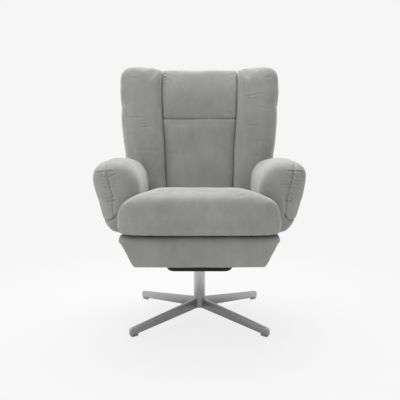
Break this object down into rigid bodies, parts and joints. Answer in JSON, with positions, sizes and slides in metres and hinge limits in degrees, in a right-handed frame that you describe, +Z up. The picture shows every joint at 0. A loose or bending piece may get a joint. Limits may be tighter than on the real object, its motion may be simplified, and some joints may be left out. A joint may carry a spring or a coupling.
{
  "type": "star base swivel recliner",
  "caption": "Padded wing chair that turns on a column with a flat star base, reclines, tilts its head section and folds out a footrest.",
  "frame": {"origin": "on the floor under the column, which is the centre of the box that holds the chair at rest", "axes": "+Z up, -Y the way the sitter faces, +X to the right in a view from the front"},
  "size_m": [0.752, 0.776, 1.0138],
  "materials": {
    "upholstery": "soft woven velour in warm light grey",
    "base_steel": "brushed flat bars and column",
    "black_plastic": "matt black moulded",
    "bearing_plastic": "natural nylon",
    "plywood": "raw plywood",
    "felt": "pressed felt",
    "frame_steel": "black powder coat"
  },
  "bodies": {
    "base": {"base_column": "base_steel", "base_leg_front_right": "base_steel", "base_leg_front_left": "base_steel", "base_leg_rear_right": "base_steel", "base_leg_rear_left": "base_steel", "glide_front_right": "black_plastic", "glide_front_left": "black_plastic", "glide_rear_right": "black_plastic", "glide_rear_left": "black_plastic", "lower_bearing_bush": "bearing_plastic", "upper_bearing_bush": "bearing_plastic", "thrust_washer": "bearing_plastic"},
    "seat": {"seat_cushion": "upholstery", "arm_pad_right": "upholstery", "arm_pad_left": "upholstery", "side_panel_right": "upholstery", "side_panel_left": "upholstery", "rear_panel": "upholstery", "underside_cover": "black_plastic", "mechanism_tray": "black_plastic", "seat_front_board": "plywood", "arm_board_right": "plywood", "arm_board_left": "plywood", "seat_felt": "felt", "swivel_plate_spindle": "frame_steel", "spindle_retainer": "frame_steel", "side_rail_right": "frame_steel", "side_rail_left": "frame_steel", "front_cross_rail": "frame_steel", "rear_cross_rail": "frame_steel", "swivel_beam_front": "frame_steel", "swivel_beam_rear": "frame_steel", "seat_spring_1": "frame_steel", "seat_spring_2": "frame_steel", "seat_spring_3": "frame_steel", "seat_spring_4": "frame_steel", "recline_bracket_right": "frame_steel", "recline_bracket_left": "frame_steel", "footrest_bracket_right": "frame_steel", "footrest_bracket_left": "frame_steel"},
    "backrest": {"back_upright_right": "frame_steel", "back_upright_left": "frame_steel", "back_lower_rail": "frame_steel", "back_upper_rail": "frame_steel", "back_board": "plywood", "back_centre_pad": "upholstery", "wing_lower_right": "upholstery", "wing_lower_left": "upholstery", "back_rear_cover": "upholstery"},
    "headrest": {"head_frame": "frame_steel", "head_pillow": "upholstery", "wing_upper_right": "upholstery", "wing_upper_left": "upholstery", "head_rear_cover": "upholstery"},
    "footrest_lower_links": {"footrest_lower_frame": "frame_steel"},
    "footrest_upper_links": {"footrest_upper_link_right": "frame_steel", "footrest_upper_link_left": "frame_steel"},
    "footrest": {"footrest_pad": "upholstery", "footrest_board": "plywood"}
  },
  "joints": [
    {"name": "swivel", "type": "hinge", "parent": "base", "child": "seat", "pos_m": [0, 0, 0.29], "axis": [0, 0, 1], "continuous": true},
    {"name": "recline", "type": "hinge", "parent": "seat", "child": "backrest", "pos_m": [0, 0.225, 0.372], "axis": [-1, 0, 0], "range_deg": [0, 35]},
    {"name": "head_tilt", "type": "hinge", "parent": "backrest", "child": "headrest", "pos_m": [0, 0.26393, 0.81363], "axis": [1, 0, 0], "range_deg": [0, 30]},
    {"name": "footrest_swing", "type": "hinge", "parent": "seat", "child": "footrest_lower_links", "pos_m": [0, -0.254, 0.37], "axis": [-1, 0, 0], "range_deg": [0, 76]},
    {"name": "footrest_unfold", "type": "hinge", "parent": "footrest_lower_links", "child": "footrest_upper_links", "pos_m": [0, -0.269, 0.293], "axis": [-1, 0, 0], "range_deg": [-95, 0]},
    {"name": "footrest_turn", "type": "hinge", "parent": "footrest_upper_links", "child": "footrest", "pos_m": [0, -0.335, 0.36], "axis": [-1, 0, 0], "range_deg": [0, 109]}
  ],
  "couplings": [
    {"joint": "footrest_unfold", "follows": "footrest_swing", "ratio": -1.2426},
    {"joint": "footrest_turn", "follows": "footrest_swing", "ratio": 1.4272}
  ]
}
